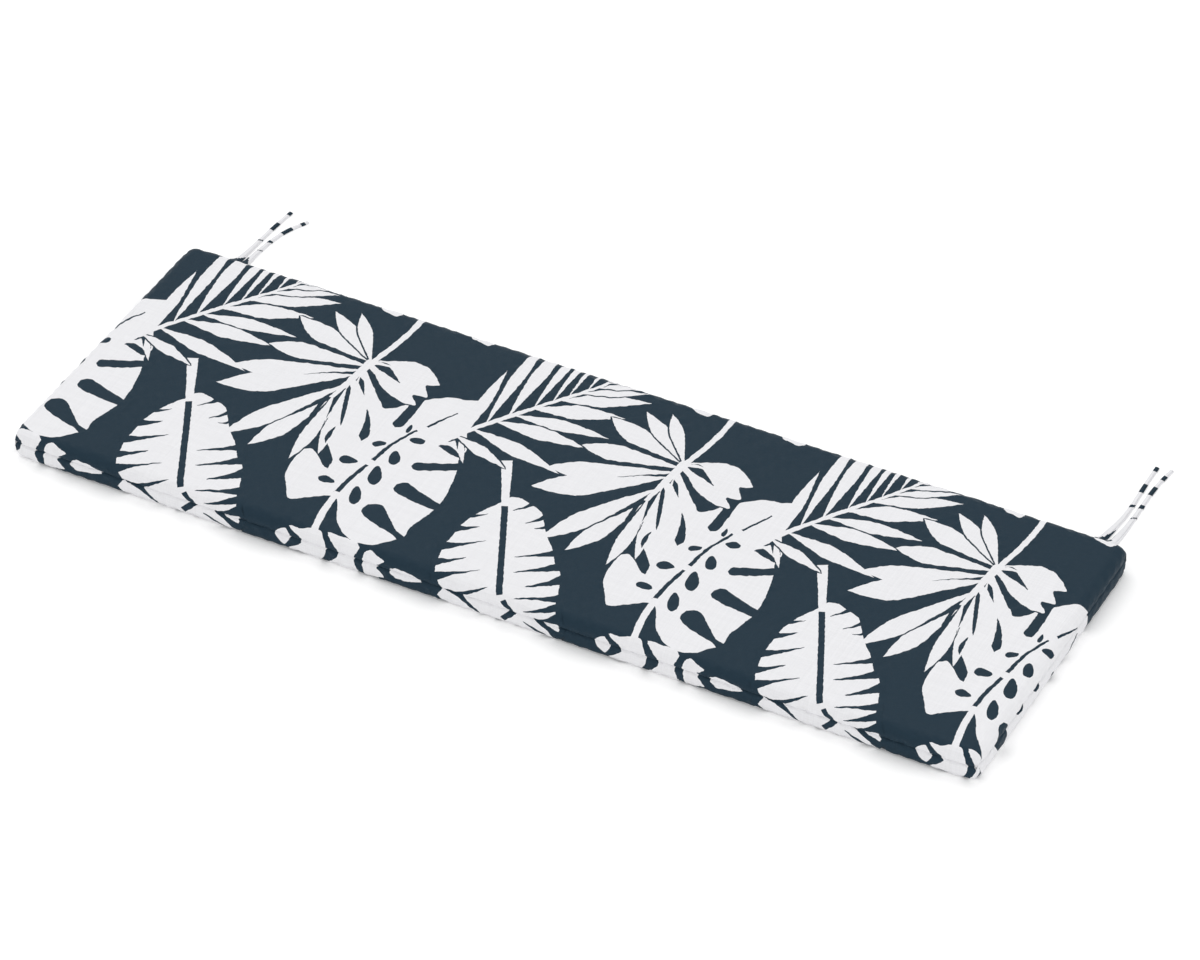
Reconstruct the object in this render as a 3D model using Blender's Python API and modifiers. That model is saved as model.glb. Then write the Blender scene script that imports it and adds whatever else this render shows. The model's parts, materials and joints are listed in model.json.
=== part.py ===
"""Bench cushion: a long, thin seat pad of printed canvas over foam, with four narrow ties.

A top panel and a bottom panel meet in one seam at half height. They and their filling are one
solid, and each tie is another. Metres, +Z up: the origin is the middle of the underside, +X
runs along the cushion, and the ties leave the back edge, at +Y.
"""
import math

import bmesh
import bpy
import numpy as np

# Driving dimensions of the cushion.
LENGTH = 1.200
DEPTH = 0.400
THICKNESS = 0.040
SEAM_HEIGHT = THICKNESS / 2

# The edge: the foam's rounding, the upright cloth between it and the seam, and the thread's pull.
EDGE_RADIUS = 0.013
EDGE_TURNS_DEG = (0, 24, 47, 69)
WALL_SHARES = (0.0, 0.3, 0.65)
SEAM_PULL = 0.0018

# The top's crown, the dimples along its rim, and the drawn-in corners.
CROWN = 0.0028
DIMPLE = 0.0009
DIMPLE_PITCH = 0.115
DIMPLE_REACH = 0.050
CORNER_PULL = 0.0040
CORNER_REACH = 0.045

# Grid cells between the turned edges, along and across.
BAYS_ALONG = 38
BAYS_ACROSS = 13

# Ties: flat folded tapes, wide at the seam and narrow at the free end. Each starts inside the
# outline, in the seam's groove, 0.3 mm short of the cloth.
TIE_THICKNESS = 0.0018
TIE_SEAT = 0.0010
TIE_DROP_RUN = 0.041
TIE_STATIONS = 26
# share of the tie's length, width there
TIE_WIDTHS = (
    (0.00, 0.0115),
    (0.18, 0.0095),
    (0.35, 0.0070),
    (0.55, 0.0054),
    (1.00, 0.0047),
)
# Each tie's way, seen from above: along the cushion, behind the seam.
TIE_ROUTES = {
    "tie_left_a": (
        (-0.5616, 0.000), (-0.5614, 0.010), (-0.5602, 0.022), (-0.5578, 0.038), (-0.5560, 0.058),
        (-0.5544, 0.086), (-0.5527, 0.115), (-0.5496, 0.147),
    ),
    "tie_left_b": (
        (-0.5492, 0.000), (-0.5491, 0.010), (-0.5482, 0.022), (-0.5468, 0.038), (-0.5454, 0.060),
        (-0.5424, 0.086), (-0.5357, 0.113), (-0.5222, 0.140),
    ),
    "tie_right_a": (
        (0.5476, 0.000), (0.5478, 0.010), (0.5494, 0.022), (0.5525, 0.038), (0.5555, 0.057),
        (0.5582, 0.080), (0.5586, 0.106), (0.5570, 0.140), (0.5562, 0.180),
    ),
    "tie_right_b": (
        (0.5606, 0.000), (0.5608, 0.010), (0.5628, 0.022), (0.5662, 0.038), (0.5680, 0.057),
        (0.5689, 0.082), (0.5688, 0.110), (0.5686, 0.140), (0.5708, 0.167), (0.5732, 0.183),
    ),
}

# Colours of the printed canvas (linear), and its finish.
NAVY = (0.026, 0.043, 0.061, 1.0)
OFF_WHITE = (0.82, 0.82, 0.83, 1.0)
CANVAS_ROUGHNESS = 0.85


def canvas(name, colour):
    """A matt woven-cloth material of one colour."""
    material = bpy.data.materials.new(name)
    material.use_nodes = True
    shader = material.node_tree.nodes["Principled BSDF"]
    shader.inputs["Base Color"].default_value = colour
    shader.inputs["Roughness"].default_value = CANVAS_ROUGHNESS
    shader.inputs["Metallic"].default_value = 0.0
    return material


def edge_section():
    """Inset from the outline, and rise over the seam as a share of the panel's, from the seam up."""
    wall = SEAM_HEIGHT - EDGE_RADIUS
    section = [(SEAM_PULL * (1 - share) ** 2, wall * share / SEAM_HEIGHT) for share in WALL_SHARES]
    for turn_deg in EDGE_TURNS_DEG:
        turn = math.radians(turn_deg)
        rise = (wall + EDGE_RADIUS * math.sin(turn)) / SEAM_HEIGHT
        section.append((EDGE_RADIUS * (1 - math.cos(turn)), rise))
    return section


def stations(size, bays):
    """Places across the cushion, seam to seam, each with its rise from 0 at a seam to 1."""
    near = [(size / 2 - inset, rise) for inset, rise in edge_section()]
    flat_half = size / 2 - EDGE_RADIUS
    middle = [(place, 1.0) for place in np.linspace(-flat_half, flat_half, bays + 1)]
    return [(-place, rise) for place, rise in near] + middle + near[::-1]


def fade(distance, reach):
    """Goes from 1 at no distance to 0 at the reach, softly."""
    return max(0.0, 1 - distance / reach) ** 2


def pull_in_corner(x, y):
    """Draws the outline in towards a corner, the way sewn corners sit."""
    near = fade(LENGTH / 2 - abs(x), CORNER_REACH) * fade(DEPTH / 2 - abs(y), CORNER_REACH)
    return x - math.copysign(CORNER_PULL * near, x), y - math.copysign(CORNER_PULL * near, y)


def top_rise(x, y):
    """Height of the top over the seam, where the cloth has flattened out."""
    crown = CROWN * (1 - abs(2 * x / LENGTH) ** 4) * (1 - abs(2 * y / DEPTH) ** 2)
    short_side = fade(LENGTH / 2 - abs(x), DIMPLE_REACH) * (1 + math.cos(math.tau * y / DIMPLE_PITCH))
    long_side = fade(DEPTH / 2 - abs(y), DIMPLE_REACH) * (1 + math.cos(math.tau * x / DIMPLE_PITCH))
    return THICKNESS - SEAM_HEIGHT - CROWN + crown - DIMPLE * (short_side + long_side) / 2


def add_panel(bm, underside):
    """Adds one panel: a grid turned down, or up, to the seam along its four sides."""
    along = stations(LENGTH, BAYS_ALONG)
    across = stations(DEPTH, BAYS_ACROSS)
    grid = bmesh.ops.create_grid(
        bm, x_segments=len(along) - 1, y_segments=len(across) - 1, size=1.0
    )
    for vert in grid["verts"]:
        column = round((vert.co.x + 1) / 2 * (len(along) - 1))
        row = round((vert.co.y + 1) / 2 * (len(across) - 1))
        x, rise_x = along[column]
        y, rise_y = across[row]
        height = -SEAM_HEIGHT if underside else top_rise(x, y)
        vert.co.x, vert.co.y = pull_in_corner(x, y)
        vert.co.z = SEAM_HEIGHT + height * rise_x * rise_y
    if underside:
        faces = {face for vert in grid["verts"] for face in vert.link_faces}
        bmesh.ops.reverse_faces(bm, faces=list(faces))


def make_cushion(collection, material):
    """The filled cushion: both panels, joined along the seam into one closed solid."""
    bm = bmesh.new()
    add_panel(bm, underside=False)
    add_panel(bm, underside=True)
    bmesh.ops.remove_doubles(bm, verts=bm.verts, dist=0.00005)
    mesh = bpy.data.meshes.new("cushion")
    bm.to_mesh(mesh)
    bm.free()
    mesh.materials.append(material)
    mesh.shade_smooth()
    mesh.set_sharp_from_angle(angle=math.radians(50))
    cushion = bpy.data.objects.new("cushion", mesh)
    collection.objects.link(cushion)


def smooth_route(route, count):
    """Points on one smooth curve through a route's own points."""
    points = np.array(route)
    travel = np.concatenate([[0.0], np.cumsum(np.linalg.norm(np.diff(points, axis=0), axis=1))])
    slopes = np.gradient(points, travel, axis=0)
    at = np.linspace(0.0, travel[-1], count)
    leg = np.clip(np.searchsorted(travel, at, side="right") - 1, 0, len(points) - 2)
    span = (travel[leg + 1] - travel[leg])[:, None]
    t = (at[:, None] - travel[leg][:, None]) / span
    start = points[leg] * (2 * t**3 - 3 * t**2 + 1) + slopes[leg] * span * (t**3 - 2 * t**2 + t)
    end = points[leg + 1] * (3 * t**2 - 2 * t**3) + slopes[leg + 1] * span * (t**3 - t**2)
    return start + end


def tie_line(route):
    """A tie's middle line: out of the seam, down in one soft bend, then over the ground."""
    plan = smooth_route(route, TIE_STATIONS)
    drop = np.clip(plan[:, 1] / TIE_DROP_RUN, 0.0, 1.0)
    resting = TIE_THICKNESS / 2
    height = resting + (SEAM_HEIGHT - resting) * (1 - drop**2 * (3 - 2 * drop))
    behind = DEPTH / 2 - TIE_SEAT + plan[:, 1]
    return np.column_stack([plan[:, 0], behind, height])


def make_tie(name, route, collection, material):
    """One tie: a flat strip along its line, cut square to the seam, with the tape's thickness."""
    line = tie_line(route)
    heading = np.gradient(line, axis=0)
    heading[0] = (0.0, 1.0, 0.0)
    sideways = np.column_stack([heading[:, 1], -heading[:, 0]])
    sideways /= np.linalg.norm(sideways, axis=1)[:, None]
    shares, widths = zip(*TIE_WIDTHS)
    half_width = np.interp(np.linspace(0, 1, TIE_STATIONS), shares, widths) / 2

    bm = bmesh.new()
    grid = bmesh.ops.create_grid(bm, x_segments=TIE_STATIONS - 1, y_segments=1, size=1.0)
    for vert in grid["verts"]:
        station = round((vert.co.x + 1) / 2 * (TIE_STATIONS - 1))
        offset = sideways[station] * half_width[station] * -vert.co.y
        vert.co = line[station] + np.append(offset, 0.0)
    mesh = bpy.data.meshes.new(name)
    bm.to_mesh(mesh)
    bm.free()
    mesh.materials.append(material)
    tie = bpy.data.objects.new(name, mesh)
    collection.objects.link(tie)
    folded = tie.modifiers.new("folded tape", "SOLIDIFY")
    folded.thickness = TIE_THICKNESS
    folded.offset = 0.0
    folded.use_even_offset = True


for old in list(bpy.data.objects):
    bpy.data.objects.remove(old, do_unlink=True)

parts = bpy.data.collections.new("bench cushion")
bpy.context.scene.collection.children.link(parts)

make_cushion(parts, canvas("printed canvas, ground", NAVY))
tape = canvas("printed canvas, tape", OFF_WHITE)
for tie_name, tie_route in TIE_ROUTES.items():
    make_tie(tie_name, tie_route, parts, tape)
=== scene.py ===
"""Bench cushion: the looks of the printed canvas cover, its seam and its four ties, on a pale floor."""
import json
import math

import bpy
import numpy as np
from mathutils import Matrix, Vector, geometry

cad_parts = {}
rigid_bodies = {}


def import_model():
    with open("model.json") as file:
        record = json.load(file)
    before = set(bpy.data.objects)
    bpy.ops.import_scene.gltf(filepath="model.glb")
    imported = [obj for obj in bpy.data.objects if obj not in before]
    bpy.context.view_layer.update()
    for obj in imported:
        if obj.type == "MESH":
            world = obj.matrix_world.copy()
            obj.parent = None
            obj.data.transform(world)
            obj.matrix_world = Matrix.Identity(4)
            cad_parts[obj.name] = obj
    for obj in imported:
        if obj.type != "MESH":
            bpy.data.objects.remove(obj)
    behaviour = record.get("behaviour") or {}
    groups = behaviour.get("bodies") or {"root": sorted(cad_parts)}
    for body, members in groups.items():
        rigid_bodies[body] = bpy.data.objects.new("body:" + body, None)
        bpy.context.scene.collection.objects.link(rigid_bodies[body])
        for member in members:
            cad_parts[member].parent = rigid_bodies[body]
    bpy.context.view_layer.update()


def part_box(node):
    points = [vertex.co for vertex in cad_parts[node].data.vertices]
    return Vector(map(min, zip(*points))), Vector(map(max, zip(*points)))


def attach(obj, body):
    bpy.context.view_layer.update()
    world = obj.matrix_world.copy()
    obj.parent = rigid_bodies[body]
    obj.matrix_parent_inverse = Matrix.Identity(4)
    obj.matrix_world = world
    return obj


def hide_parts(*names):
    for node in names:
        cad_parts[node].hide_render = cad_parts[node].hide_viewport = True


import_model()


# ---- Filled cover ----
# The real cover is two equal panels of canvas, sewn together along all four sides and pulled
# over a foam slab with rounded edges. The seam sits at half height and the thread draws it in.
# Each panel is a grid in cloth distances: from seam to seam, along and across the cushion.
solid_low, solid_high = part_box("cushion")
LENGTH = solid_high.x - solid_low.x
DEPTH = solid_high.y - solid_low.y
THICKNESS = solid_high.z - solid_low.z
SEAM_HEIGHT = THICKNESS / 2
EDGE_RADIUS = 0.013
RESTING_EDGE_RADIUS = 0.0075
SEAM_PULL = 0.0006
SEAM_CREASE = 0.002
SEAM_CREASE_REACH = 0.0024
SEAM_CREASE_POWER = 1.5
CROWN = 0.0028
CROWN_POWER_ALONG = 4
CROWN_POWER_ACROSS = 2
CORNER_PULL = 0.0032
CORNER_REACH = 0.034
TURNED = SEAM_HEIGHT - EDGE_RADIUS + EDGE_RADIUS * math.pi / 2
HALF_ALONG = LENGTH / 2 - EDGE_RADIUS + TURNED
HALF_ACROSS = DEPTH / 2 - EDGE_RADIUS + TURNED
# Grid rows over the turned edge, as distances from the seam, and the step on the flat between them.
TURNED_STEPS = (0.0, 0.0008, 0.0017, 0.0028, 0.0046, 0.007, 0.0105, 0.014, 0.0175, 0.021, 0.0243)
FLAT_STEP = 0.008


def edge_place(from_seam, half_size, half_cloth, radius):
    """Inset from the outline, and share of the panel's rise, at a cloth distance from the seam."""
    upright = SEAM_HEIGHT - radius
    turned = upright + radius * math.pi / 2
    wall = np.minimum(from_seam, upright)
    turn = np.clip((from_seam - upright) / radius, 0.0, math.pi / 2)
    flat = np.maximum(from_seam - turned, 0.0) * (half_size - radius) / (half_cloth - turned)
    pull = SEAM_PULL * (1 - wall / upright) ** 2
    pull = pull + SEAM_CREASE * np.maximum(1 - wall / SEAM_CREASE_REACH, 0.0) ** SEAM_CREASE_POWER
    inset = pull + radius * (1 - np.cos(turn)) + flat
    rise = (wall + radius * np.sin(turn)) / SEAM_HEIGHT
    return inset, rise


def cloth_stations(half_cloth):
    """Cloth distances from the middle, seam to seam: close at the turned edges, even between."""
    edge = half_cloth - np.array(TURNED_STEPS)
    flat_half = half_cloth - TURNED
    middle = np.linspace(-flat_half, flat_half, 1 + round(2 * flat_half / FLAT_STEP))
    return np.concatenate([-edge, middle, edge[::-1]])


def soft_fade(distance, reach):
    """Goes from 1 at no distance to 0 at the reach, softly."""
    return np.clip(1 - distance / reach, 0.0, 1.0) ** 2


def panel_form(along, across, underside):
    """Where the cloth lies round the slab, for cloth distances from the panel's middle."""
    radius = RESTING_EDGE_RADIUS if underside else EDGE_RADIUS
    inset_x, rise_x = edge_place(HALF_ALONG - np.abs(along), LENGTH / 2, HALF_ALONG, radius)
    inset_y, rise_y = edge_place(HALF_ACROSS - np.abs(across), DEPTH / 2, HALF_ACROSS, radius)
    x = np.sign(along) * (LENGTH / 2 - inset_x)
    y = np.sign(across) * (DEPTH / 2 - inset_y)
    near_corner = soft_fade(inset_x, CORNER_REACH) * soft_fade(inset_y, CORNER_REACH)
    bow_along = 1 - np.abs(2 * x / LENGTH) ** CROWN_POWER_ALONG
    bow_across = 1 - np.abs(2 * y / DEPTH) ** CROWN_POWER_ACROSS
    crown = CROWN * bow_along * bow_across
    height = -SEAM_HEIGHT if underside else SEAM_HEIGHT - CROWN + crown
    x = x - np.sign(x) * CORNER_PULL * near_corner
    y = y - np.sign(y) * CORNER_PULL * near_corner
    return np.stack([x, y, SEAM_HEIGHT + height * rise_x * rise_y], axis=-1)


stations_along = cloth_stations(HALF_ALONG)
stations_across = cloth_stations(HALF_ACROSS)
grid_along, grid_across = np.meshgrid(stations_along, stations_across, indexing="ij")
panels = {
    "top": panel_form(grid_along, grid_across, underside=False),
    "bottom": panel_form(grid_along, grid_across, underside=True),
}


# ---- Printed canvas ----
# The canvas is navy with a white leaf print, in repeats of about 0.4 m: a fan palm, a feather palm,
# a split leaf with holes and a torn banana leaf. They are drawn as flat cut-outs laid over one
# another, some with a thin navy line round them, and with edges as rough as a hand-cut stencil's.
PRINT_REPEAT = 0.3971
PRINT_START = 0.1018
# The print is a little closer together towards one end of the cushion and wider apart towards the
# other: a place along it shifts by this much times its distance from the middle squared.
PRINT_EASE = 0.048
REPEATS = (-2, -1, 0, 1)
CUT_STEP = 0.0026
CUT_WOBBLE = 0.0002
OUTLINE = 0.0021
WHITE, NAVY = True, False
cutter = np.random.default_rng(5)
repeat_shapes = []


def pointing(heading_deg):
    """Unit vector at a heading, in degrees from +X."""
    return np.array([math.cos(math.radians(heading_deg)), math.sin(math.radians(heading_deg))])


def smooth_leg(t, start, end, leave, arrive):
    """Places on a smooth curve from start to end, for its directions at both."""
    return (
        start * (2 * t**3 - 3 * t**2 + 1) + leave * (t**3 - 2 * t**2 + t)
        + end * (3 * t**2 - 2 * t**3) + arrive * (t**3 - t**2)
    )


def curve_through(points, closed=False):
    """A smooth line through a few points, with stations about a cut step apart."""
    knots = np.array(points, dtype=float)
    if closed:
        slopes = (np.roll(knots, -1, axis=0) - np.roll(knots, 1, axis=0)) / 2
        knots = np.vstack([knots, knots[:1]])
        slopes = np.vstack([slopes, slopes[:1]])
    else:
        slopes = np.gradient(knots, axis=0)
    line = []
    for start, end, leave, arrive in zip(knots[:-1], knots[1:], slopes[:-1], slopes[1:]):
        count = max(2, math.ceil(np.linalg.norm(end - start) / CUT_STEP))
        t = np.linspace(0, 1, count, endpoint=False)[:, None]
        line.append(smooth_leg(t, start, end, leave, arrive))
    if not closed:
        line.append(knots[-1:])
    return np.vstack(line)


def sideways(line):
    """Unit vectors to the left of a line's stations."""
    run = np.gradient(line, axis=0)
    return np.column_stack([-run[:, 1], run[:, 0]]) / np.linalg.norm(run, axis=1)[:, None]


def travel_along(line):
    """Distance travelled at each of a line's stations."""
    return np.concatenate([[0.0], np.cumsum(np.linalg.norm(np.diff(line, axis=0), axis=1))])


def bent_line(start, heading_deg, bend_deg, length, share):
    """Stations at even shares of a line that bends evenly about its heading."""
    headings = np.radians(heading_deg + bend_deg * (share - 0.5))
    steps = np.column_stack([np.cos(headings), np.sin(headings)]) * length / (len(share) - 1)
    return np.array(start) + np.vstack([[0.0, 0.0], np.cumsum(steps[:-1], axis=0)])


def ribbon(points, start_width, end_width):
    """Outline of a strip along a smooth line, which widens or narrows evenly."""
    line = curve_through(points)
    half = np.linspace(start_width, end_width, len(line))[:, None] / 2
    left = sideways(line) * half
    return np.vstack([line + left, (line - left)[::-1]])


BLADE_OPENING_POWER = 0.85
BLADE_FULLEST = 0.97


def blade(base, heading_deg, length, width, bend_deg=0.0, lean=0.5, belly=0.45, tip=1.5):
    """Outline of one leaf blade: slim at its base, widest at the belly, pointed at its end.

    Lean is the share of the width to the right of the middle line, the belly is a share of the
    length, and a higher tip gives a blunter point.
    """
    share = np.linspace(0, 1, max(6, math.ceil(length / CUT_STEP)) + 1)
    line = bent_line(base, heading_deg, bend_deg, length, share)
    opening = (share / belly) ** BLADE_OPENING_POWER
    closing = 1 - (np.maximum(share - belly, 0.0) / (1 - belly)) ** tip
    swell = np.minimum(np.minimum(opening, closing), BLADE_FULLEST)
    left = sideways(line)
    return np.vstack([
        line + left * (width * (1 - lean) * swell)[:, None],
        (line - left * (width * lean * swell)[:, None])[-2:0:-1],
    ])


def drop(centre, heading_deg, length, width, far_fullness):
    """Outline of an oval, drawn in towards its far end to a share of its full shape."""
    ahead = pointing(heading_deg)
    left = np.array([-ahead[1], ahead[0]])
    start = np.array(centre) - ahead * length / 2
    turn = np.linspace(0, math.tau, max(14, math.ceil(2 * length / CUT_STEP)), endpoint=False)
    share = (1 - np.cos(turn)) / 2
    across = np.sin(turn) * (1 - share * (1 - far_fullness)) * width / 2
    return start + share[:, None] * length * ahead + across[:, None] * left


NOTCH_BEND_DEG = 14
NOTCH_NARROW_AT = 0.8
NOTCH_NARROWING_POWER = 1.3
NOTCH_FLARE_FROM = 0.85
NOTCH_FLARE = 0.4


def notch(inner, heading_deg, length, round_width, neck):
    """Outline of a deep notch: a round inner end that narrows to a neck at the leaf's edge."""
    share = np.linspace(0, 1, max(8, math.ceil(length / CUT_STEP)))
    from_end = share * length
    radius = round_width / 2
    bulb = np.sqrt(np.maximum(radius**2 - (from_end - radius) ** 2, 0.0)) * (from_end < 2 * radius)
    flaring = np.maximum(share - NOTCH_FLARE_FROM, 0.0) / (1 - NOTCH_FLARE_FROM)
    throat = neck / 2 * (1 + NOTCH_FLARE * flaring)
    narrowing = np.clip((from_end - radius) / (length * NOTCH_NARROW_AT - radius), 0.0, 1.0)
    shoulder = radius + (neck / 2 - radius) * narrowing**NOTCH_NARROWING_POWER
    half = np.where(from_end < radius, bulb, np.maximum(shoulder, throat))
    line = bent_line(inner, heading_deg, NOTCH_BEND_DEG, length, share)
    left = sideways(line) * half[:, None]
    return np.vstack([line + left, (line - left)[::-1]])


CORNER_ROUNDING = 0.14


def hand_cut(corners):
    """A cut-out with nearly straight sides between its corners, which are only just rounded."""
    corners = np.array(corners)
    ahead = np.roll(corners, -1, axis=0)
    on_sides = [
        corners * (1 - along_side) + ahead * along_side
        for along_side in (CORNER_ROUNDING, 0.5, 1 - CORNER_ROUNDING)
    ]
    return curve_through(np.column_stack(on_sides).reshape(-1, 2), closed=True)


NEXT_TO_NOTHING = 1e-12


def grown(outline, by):
    """The same outline, set outwards all round."""
    area = np.sum(np.cross(outline, np.roll(outline, -1, axis=0)))
    tangent = np.roll(outline, -1, axis=0) - np.roll(outline, 1, axis=0)
    outward = np.column_stack([tangent[:, 1], -tangent[:, 0]]) * np.sign(area)
    size = np.maximum(np.linalg.norm(outward, axis=1), NEXT_TO_NOTHING)
    return outline + by * outward / size[:, None]


def lay(outline, colour, outlined=False):
    """Lays one cut-out on the repeat, over what is there already."""
    if outlined:
        repeat_shapes.append((grown(outline, OUTLINE), NAVY))
    repeat_shapes.append((outline + cutter.normal(0, CUT_WOBBLE, outline.shape), colour))


# Banana leaf: a broad leaf on a short stem, torn from both its edges towards the midrib.
BANANA_STEM = ((-0.178, 0.008), (-0.163, -0.022), (-0.1435, -0.062))
BANANA_RIB = ((-0.143, -0.063), (-0.112, -0.127), (-0.079, -0.196))
BANANA_RIB_END = ((-0.073, -0.201), (-0.062, -0.213), (-0.056, -0.222))
# share along the rib, half width of the leaf there
BANANA_RIGHT = (
    (-0.1, 0.005), (-0.095, 0.017), (-0.02, 0.029), (0.02, 0.036), (0.08, 0.042),
    (0.22, 0.045), (0.35, 0.049), (0.5, 0.056), (0.64, 0.059), (0.77, 0.066),
    (0.98, 0.065), (1.12, 0.063), (1.22, 0.063), (1.33, 0.062), (1.45, 0.058),
)
BANANA_LEFT = (
    (-0.04, 0.005), (0.03, 0.019), (0.1, 0.031), (0.21, 0.045), (0.33, 0.054),
    (0.46, 0.063), (0.63, 0.07), (0.76, 0.072), (0.92, 0.07), (1.1, 0.074),
    (1.25, 0.076), (1.36, 0.076), (1.45, 0.073),
)
# share along the rib at the tear's mouth and at its inner end, its reach from the edge, its width
BANANA_TEARS_RIGHT = (
    (-0.04, 0.05, 0.017, 0.006), (0.1, 0.19, 0.019, 0.007), (0.21, 0.25, 0.011, 0.006),
    (0.53, 0.58, 0.043, 0.008), (0.68, 0.76, 0.047, 0.01), (0.82, 0.93, 0.038, 0.013),
    (1.05, 1.05, 0.048, 0.009), (1.14, 1.16, 0.04, 0.009), (1.25, 1.25, 0.044, 0.01),
    (1.36, 1.36, 0.04, 0.009),
)
BANANA_TEARS_LEFT = (
    (0.11, 0.1, 0.015, 0.006), (0.26, 0.24, 0.023, 0.01), (0.47, 0.4, 0.045, 0.009),
    (0.65, 0.6, 0.032, 0.01), (0.79, 0.73, 0.05, 0.008), (0.96, 0.92, 0.058, 0.011),
    (1.12, 1.12, 0.06, 0.012), (1.3, 1.3, 0.05, 0.01),
)
TEAR_PAST_EDGE = 0.007
TEAR_INNER_SHIFT = 0.001
TEAR_SAG = (0.001, 0.003)
TEAR_WAIST_AT = 0.42
TEAR_MOUTH_SHARE = 0.85
TEAR_WAIST_SHARE = 0.34


def beside_rib(rib, side, spots):
    """Points to one side of a straight rib, from shares along it and distances out from it."""
    start, end = np.array(rib[0]), np.array(rib[-1])
    axis = end - start
    left = np.array([-axis[1], axis[0]]) / np.linalg.norm(axis)
    return [start + axis * share + left * side * out for share, out in spots]


def tear(rib, widths, side, mouth_share, inner_share, reach, width):
    """A torn slit: a wedge, open at the leaf's edge and pointed towards the rib."""
    ahead = np.subtract(rib[-1], rib[0])
    ahead /= np.linalg.norm(ahead)
    edge = np.interp(mouth_share, *zip(*widths))
    spots = ((mouth_share, edge + TEAR_PAST_EDGE), (inner_share, edge - reach))
    mouth, inner = beside_rib(rib, side, spots)
    inner += ahead * cutter.uniform(-TEAR_INNER_SHIFT, TEAR_INNER_SHIFT)
    waist = mouth + (inner - mouth) * TEAR_WAIST_AT + ahead * cutter.uniform(*TEAR_SAG)
    half_mouth = ahead * width * TEAR_MOUTH_SHARE
    half_waist = ahead * width * TEAR_WAIST_SHARE
    return curve_through([
        mouth - half_mouth, waist - half_waist, inner, waist + half_waist, mouth + half_mouth,
    ])


banana_sides = ((1, BANANA_RIGHT, BANANA_TEARS_RIGHT), (-1, BANANA_LEFT, BANANA_TEARS_LEFT))
right_edge, left_edge = [beside_rib(BANANA_RIB, side, widths) for side, widths, tears in banana_sides]
lay(curve_through(right_edge + left_edge[::-1], closed=True), WHITE)
for side, widths, tears in banana_sides:
    for row in tears:
        lay(tear(BANANA_RIB, widths, side, *row), NAVY)
lay(ribbon(BANANA_RIB, start_width=0.0075, end_width=0.0072), NAVY)
lay(ribbon(BANANA_RIB_END, start_width=0.0065, end_width=0.008), NAVY)
lay(ribbon(BANANA_STEM, start_width=0.0125, end_width=0.008), WHITE)

# Split leaf: a broad heart, with holes beside its midrib and deep rounded notches in its right side.
SPLIT_BODY = (
    (0.128, 0.084), (0.146, 0.089), (0.151, 0.062), (0.155, 0.034), (0.17, 0.004), (0.171, -0.016),
    (0.177, -0.03), (0.185, -0.062), (0.189, -0.096), (0.184, -0.122), (0.179, -0.142), (0.18, -0.16),
    (0.171, -0.172), (0.154, -0.188), (0.13, -0.19), (0.104, -0.172), (0.082, -0.136), (0.056, -0.148),
    (0.037, -0.16), (0.025, -0.144), (0.013, -0.125), (0.009, -0.1), (0.01, -0.078), (0.013, -0.058),
    (0.017, -0.03), (0.019, -0.004), (0.024, 0.014), (0.034, 0.032), (0.043, 0.037),
    (0.0525, 0.0275), (0.065, 0.035), (0.074, 0.048), (0.086, 0.061), (0.106, 0.078),
)
# places along a stretch of the midrib, its width at the start and at the end
SPLIT_RIBS = (
    (((0.13, 0.058), (0.122, 0.042), (0.112, 0.02)), 0.0022, 0.0035),
    (((0.105, 0.01), (0.092, -0.026), (0.087, -0.06)), 0.003, 0.0048),
    (((0.085, -0.07), (0.08, -0.1), (0.078, -0.128)), 0.0045, 0.006),
)
SPLIT_STEM = ((0.079, -0.126), (0.081, -0.16), (0.087, -0.192))
SPLIT_HOLE_FAR_FULLNESS = 0.6
# centre along, across, heading, length, width of each hole
SPLIT_HOLES = (
    (0.114, -0.007, 190, 0.018, 0.014), (0.106, -0.045, 112, 0.024, 0.016),
    (0.102, -0.082, 108, 0.033, 0.018), (0.099, -0.122, 110, 0.032, 0.016),
    (0.096, 0.008, 95, 0.015, 0.007), (0.079, -0.031, 35, 0.016, 0.012),
    (0.063, -0.072, 10, 0.021, 0.017), (0.058, -0.113, 0, 0.02, 0.014),
)
# inner end along, across, heading out, length, width of the round end, width of the neck
SPLIT_NOTCHES = (
    (0.129, -0.049, 27, 0.062, 0.014, 0.012), (0.13, -0.085, 348, 0.072, 0.021, 0.012),
    (0.119, -0.129, 330, 0.07, 0.026, 0.007), (0.08, 0.003, 91, 0.062, 0.013, 0.012),
)
lay(curve_through(SPLIT_BODY, closed=True), WHITE, outlined=True)
for along, across, *shape in SPLIT_HOLES:
    lay(drop((along, across), *shape, SPLIT_HOLE_FAR_FULLNESS), NAVY)
for along, across, *shape in SPLIT_NOTCHES:
    lay(notch((along, across), *shape), NAVY)
for stretch in SPLIT_RIBS:
    lay(ribbon(*stretch), NAVY)
lay(ribbon(SPLIT_STEM, start_width=0.0075, end_width=0.0085), WHITE)

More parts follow.
